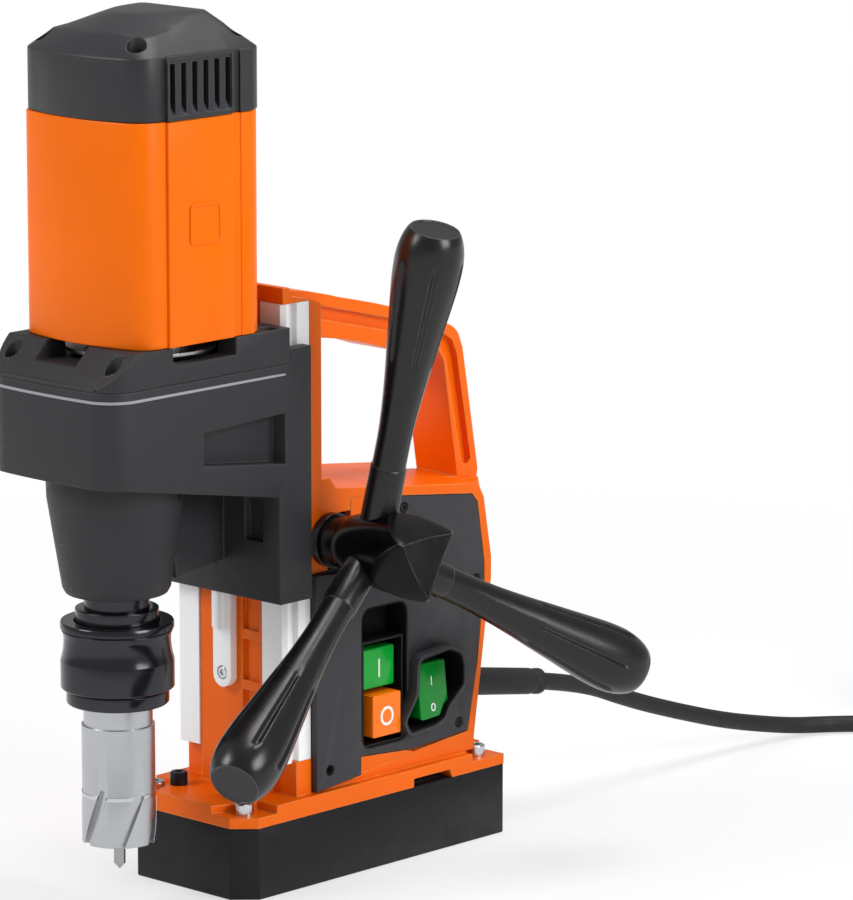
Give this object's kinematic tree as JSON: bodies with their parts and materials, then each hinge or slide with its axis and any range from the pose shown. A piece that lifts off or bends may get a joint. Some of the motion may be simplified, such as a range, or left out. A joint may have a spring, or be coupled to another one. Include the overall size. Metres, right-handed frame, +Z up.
{
  "type": "magnetic drill press",
  "caption": "Portable magnetic drill press: magnet foot, railed stand with carry handle, motor drill head fed by a lever capstan, annular cutter in a quick-change chuck, coiled mains lead.",
  "frame": {"origin": "centre of the magnet's bottom pole face, which rests on the work", "axes": "+Z up along the spindle and the rails; -Y towards the drill head at the front; +X to the operator's right, where the capstan and the switches are"},
  "size_m": [0.186, 0.7629, 0.4579],
  "materials": {
    "orange_casting": "orange powder coat, satin",
    "orange_shell": "orange moulded plastic, semi gloss",
    "black_casting": "fine textured black coat",
    "black_plastic": "textured black plastic",
    "magnet_black": "textured black coat on steel",
    "copper": "enamelled copper winding",
    "resin": "dark potting resin",
    "ground_steel": "ground steel",
    "screw_zinc": "bright zinc plate",
    "screw_black": "black oxide",
    "bronze": "sintered bronze",
    "gib_brass": "machined brass",
    "hub_gloss": "glossy black",
    "grip_satin": "satin black",
    "cover_satin": "satin dark grey sheet",
    "button_green": "gloss green",
    "button_orange": "gloss orange",
    "rocker_green": "translucent green",
    "board_green": "circuit board",
    "chuck_black": "black oxide, turned",
    "spring_steel": "spring wire",
    "cutter_steel": "ground high speed steel",
    "laminations": "stacked laminations",
    "commutator_copper": "copper segments",
    "cord_rubber": "matt black rubber",
    "plug_rubber": "moulded black rubber"
  },
  "bodies": {
    "stand": {"magnet_body": "magnet_black", "magnet_coil": "copper", "magnet_potting": "resin", "foot_screws": "screw_zinc", "column_screws": "screw_black", "stand_frame": "orange_casting", "guide_rail_left": "ground_steel", "guide_rail_right": "ground_steel", "rail_screws": "screw_black", "stop_bar": "ground_steel", "stop_bar_screws": "screw_zinc", "pinion_bushes": "bronze", "side_cover": "cover_satin", "cover_screws": "screw_black", "switch_box": "black_plastic", "rocker_frame": "black_plastic", "control_board": "board_green", "strain_relief": "plug_rubber", "mains_cord": "cord_rubber", "cord_coil": "cord_rubber", "plug_body": "plug_rubber", "plug_pins": "screw_zinc"},
    "drill_head": {"gearbox_housing": "black_casting", "gearbox_cover": "black_casting", "gearbox_screws": "screw_black", "gib_strips": "gib_brass", "feed_rack": "ground_steel", "rack_screws": "screw_black", "motor_housing": "orange_shell", "motor_cap": "black_plastic", "cap_screws": "screw_black", "stator": "laminations", "brush_holders": "gib_brass", "armature_bearings": "ground_steel", "bearing_plate": "ground_steel", "spindle_bearings": "ground_steel"},
    "armature_rotor": {"armature": "laminations", "fan": "black_plastic", "commutator": "commutator_copper"},
    "lay_gears": {"layshaft": "ground_steel", "lay_gear": "ground_steel"},
    "spindle_tool": {"spindle": "chuck_black", "spindle_gear": "ground_steel", "chuck_body": "chuck_black", "chuck_spring": "spring_steel", "cutter": "cutter_steel", "pilot_spring": "spring_steel"},
    "release_sleeve": {"chuck_sleeve": "chuck_black"},
    "pilot": {"pilot_pin": "cutter_steel"},
    "capstan": {"pinion_shaft": "ground_steel", "capstan_hub": "hub_gloss", "lever_rods": "ground_steel", "lever_grip_1": "grip_satin", "lever_grip_2": "grip_satin", "lever_grip_3": "grip_satin"},
    "start": {"start_button": "button_green"},
    "stop": {"stop_button": "button_orange"},
    "rocker_switch": {"rocker": "rocker_green"}
  },
  "joints": [
    {"name": "feed_slide", "type": "slide", "parent": "stand", "child": "drill_head", "axis": [0, 0, 1], "range_m": [-0.092, 0.018]},
    {"name": "capstan_turn", "type": "hinge", "parent": "stand", "child": "capstan", "pos_m": [0, -0.03, 0.18], "axis": [1, 0, 0], "range_deg": [-80, 390]},
    {"name": "spindle_spin", "type": "hinge", "parent": "drill_head", "child": "spindle_tool", "pos_m": [0, -0.1425, 0.18], "axis": [0, 0, 1], "continuous": true},
    {"name": "layshaft_spin", "type": "hinge", "parent": "drill_head", "child": "lay_gears", "pos_m": [0.01145, -0.10522, 0.25], "axis": [0, 0, 1], "continuous": true},
    {"name": "armature_spin", "type": "hinge", "parent": "drill_head", "child": "armature_rotor", "pos_m": [0, -0.124, 0.35], "axis": [0, 0, 1], "continuous": true},
    {"name": "sleeve_lift", "type": "slide", "parent": "spindle_tool", "child": "release_sleeve", "axis": [0, 0, 1], "range_m": [0, 0.004], "stiffness_N_per_m": 2500, "springref_m": -0.002, "deforming": ["chuck_spring"]},
    {"name": "pilot_lift", "type": "slide", "parent": "spindle_tool", "child": "pilot", "axis": [0, 0, 1], "range_m": [0, 0.016], "stiffness_N_per_m": 250, "springref_m": -0.008, "deforming": ["pilot_spring"]},
    {"name": "start_press", "type": "slide", "parent": "stand", "child": "start", "axis": [-1, 0, 0], "range_m": [0, 0.003], "stiffness_N_per_m": 600, "springref_m": -0.001},
    {"name": "stop_press", "type": "slide", "parent": "stand", "child": "stop", "axis": [-1, 0, 0], "range_m": [0, 0.003], "stiffness_N_per_m": 600, "springref_m": -0.001},
    {"name": "rocker_tip", "type": "hinge", "parent": "stand", "child": "rocker_switch", "pos_m": [0.0365, 0.045, 0.086], "axis": [0, 1, 0], "range_deg": [-16, 0]}
  ],
  "couplings": [
    {"joint": "capstan_turn", "follows": "feed_slide", "rad_per_m": -71.429},
    {"joint": "layshaft_spin", "follows": "spindle_spin", "ratio": -3.3333},
    {"joint": "armature_spin", "follows": "spindle_spin", "ratio": 15}
  ]
}
